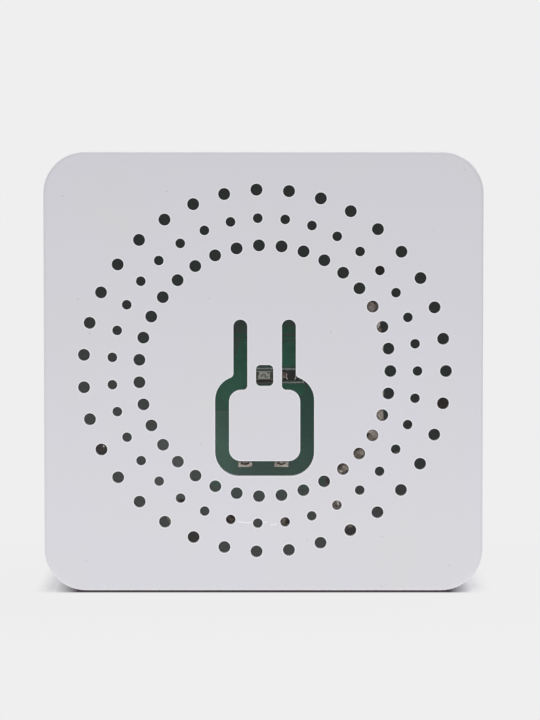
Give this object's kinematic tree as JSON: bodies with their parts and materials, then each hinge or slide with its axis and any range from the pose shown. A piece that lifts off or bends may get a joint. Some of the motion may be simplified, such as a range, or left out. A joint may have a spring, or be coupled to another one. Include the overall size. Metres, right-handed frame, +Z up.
{
  "type": "smart relay module",
  "caption": "Square white flush-box relay module with a vented front, plug-shaped slot, screw terminals along the bottom and a push button on top.",
  "frame": {"origin": "centre of the terminal-side face that the module stands on", "axes": "+X to the right seen from the front, +Y from the front face to the back, +Z up to the button"},
  "size_m": [0.0392, 0.018, 0.0392],
  "materials": {
    "case_abs": "moulded matte ABS, fine spark texture",
    "button_abs": "moulded matte ABS",
    "solder_mask": "green solder mask on glass epoxy",
    "radio_mask": "dark solder mask on glass epoxy",
    "solder": "satin tin solder",
    "led_resin": "clear to milky resin",
    "chip_body": "black glaze on ceramic",
    "tinned_ends": "tinned",
    "package_epoxy": "moulded black epoxy",
    "terminal_polyamide": "moulded polyamide",
    "tinned_copper": "tinned copper",
    "relay_pbt": "moulded polyester",
    "relay_cover": "moulded polyester, satin",
    "plated_iron": "nickel plated iron",
    "bobbin_pbt": "moulded polyester",
    "enamelled_copper": "enamelled copper wire",
    "contact_bronze": "bronze strip with silver rivet",
    "capacitor_sleeve": "shrunk polyester sleeve",
    "ferrite": "sintered ferrite",
    "varistor_epoxy": "dipped epoxy",
    "resistor_lacquer": "lacquer on ceramic",
    "nickel_silver": "stamped sheet",
    "clamp_brass": "machined brass",
    "screw_steel": "zinc plated steel",
    "plunger_plastic": "moulded"
  },
  "bodies": {
    "module": {"front_cover": "case_abs", "rear_shell": "case_abs", "main_board": "solder_mask", "solder_joints": "solder", "indicator_led": "led_resin", "chip_parts": "chip_body", "chip_terminations": "tinned_ends", "converter_ic": "package_epoxy", "bridge_rectifier": "package_epoxy", "terminal_housing": "terminal_polyamide", "terminal_contacts": "tinned_copper", "relay_base": "relay_pbt", "relay_case": "relay_cover", "relay_yoke": "plated_iron", "relay_core": "plated_iron", "relay_bobbin": "bobbin_pbt", "relay_winding": "enamelled_copper", "relay_fixed_contact": "contact_bronze", "input_capacitor": "capacitor_sleeve", "output_capacitor": "capacitor_sleeve", "choke_core": "ferrite", "choke_winding": "enamelled_copper", "varistor": "varistor_epoxy", "fusible_resistor": "resistor_lacquer", "component_leads": "tinned_copper", "wifi_board": "radio_mask", "wifi_shield": "nickel_silver", "tact_switch": "package_epoxy"},
    "button": {"button_cap": "button_abs", "tact_plunger": "plunger_plastic"},
    "armature": {"relay_armature": "plated_iron", "relay_moving_contact": "contact_bronze"},
    "screw_1": {"terminal_screw_1": "screw_steel"},
    "clamp_1": {"terminal_clamp_1": "clamp_brass"},
    "screw_2": {"terminal_screw_2": "screw_steel"},
    "clamp_2": {"terminal_clamp_2": "clamp_brass"},
    "screw_3": {"terminal_screw_3": "screw_steel"},
    "clamp_3": {"terminal_clamp_3": "clamp_brass"},
    "screw_4": {"terminal_screw_4": "screw_steel"},
    "clamp_4": {"terminal_clamp_4": "clamp_brass"},
    "screw_5": {"terminal_screw_5": "screw_steel"},
    "clamp_5": {"terminal_clamp_5": "clamp_brass"},
    "screw_6": {"terminal_screw_6": "screw_steel"},
    "clamp_6": {"terminal_clamp_6": "clamp_brass"}
  },
  "joints": [
    {"name": "button_press", "type": "slide", "parent": "module", "child": "button", "axis": [0, 0, -1], "range_m": [0, 0.0004], "stiffness_N_per_m": 1000},
    {"name": "armature_swing", "type": "hinge", "parent": "module", "child": "armature", "pos_m": [0.0095, 0.0036, 0.0112], "axis": [1, 0, 0], "range_deg": [0, 4], "stiffness_Nm_per_rad": 0.02},
    {"name": "screw_turn_1", "type": "hinge", "parent": "module", "child": "screw_1", "pos_m": [-0.0125, 0, 0.00425], "axis": [0, -1, 0], "range_deg": [0, 1680.1]},
    {"name": "clamp_lift_1", "type": "slide", "parent": "module", "child": "clamp_1", "axis": [0, 1, 0], "range_m": [0, 0.0021]},
    {"name": "screw_turn_2", "type": "hinge", "parent": "module", "child": "screw_2", "pos_m": [-0.0075, 0, 0.00425], "axis": [0, -1, 0], "range_deg": [0, 1680.1]},
    {"name": "clamp_lift_2", "type": "slide", "parent": "module", "child": "clamp_2", "axis": [0, 1, 0], "range_m": [0, 0.0021]},
    {"name": "screw_turn_3", "type": "hinge", "parent": "module", "child": "screw_3", "pos_m": [-0.0025, 0, 0.00425], "axis": [0, -1, 0], "range_deg": [0, 1680.1]},
    {"name": "clamp_lift_3", "type": "slide", "parent": "module", "child": "clamp_3", "axis": [0, 1, 0], "range_m": [0, 0.0021]},
    {"name": "screw_turn_4", "type": "hinge", "parent": "module", "child": "screw_4", "pos_m": [0.0025, 0, 0.00425], "axis": [0, -1, 0], "range_deg": [0, 1680.1]},
    {"name": "clamp_lift_4", "type": "slide", "parent": "module", "child": "clamp_4", "axis": [0, 1, 0], "range_m": [0, 0.0021]},
    {"name": "screw_turn_5", "type": "hinge", "parent": "module", "child": "screw_5", "pos_m": [0.0075, 0, 0.00425], "axis": [0, -1, 0], "range_deg": [0, 1680.1]},
    {"name": "clamp_lift_5", "type": "slide", "parent": "module", "child": "clamp_5", "axis": [0, 1, 0], "range_m": [0, 0.0021]},
    {"name": "screw_turn_6", "type": "hinge", "parent": "module", "child": "screw_6", "pos_m": [0.0125, 0, 0.00425], "axis": [0, -1, 0], "range_deg": [0, 1680.1]},
    {"name": "clamp_lift_6", "type": "slide", "parent": "module", "child": "clamp_6", "axis": [0, 1, 0], "range_m": [0, 0.0021]}
  ],
  "couplings": [
    {"joint": "screw_turn_1", "follows": "clamp_lift_1", "rad_per_m": 13963},
    {"joint": "screw_turn_2", "follows": "clamp_lift_2", "rad_per_m": 13963},
    {"joint": "screw_turn_3", "follows": "clamp_lift_3", "rad_per_m": 13963},
    {"joint": "screw_turn_4", "follows": "clamp_lift_4", "rad_per_m": 13963},
    {"joint": "screw_turn_5", "follows": "clamp_lift_5", "rad_per_m": 13963},
    {"joint": "screw_turn_6", "follows": "clamp_lift_6", "rad_per_m": 13963}
  ]
}
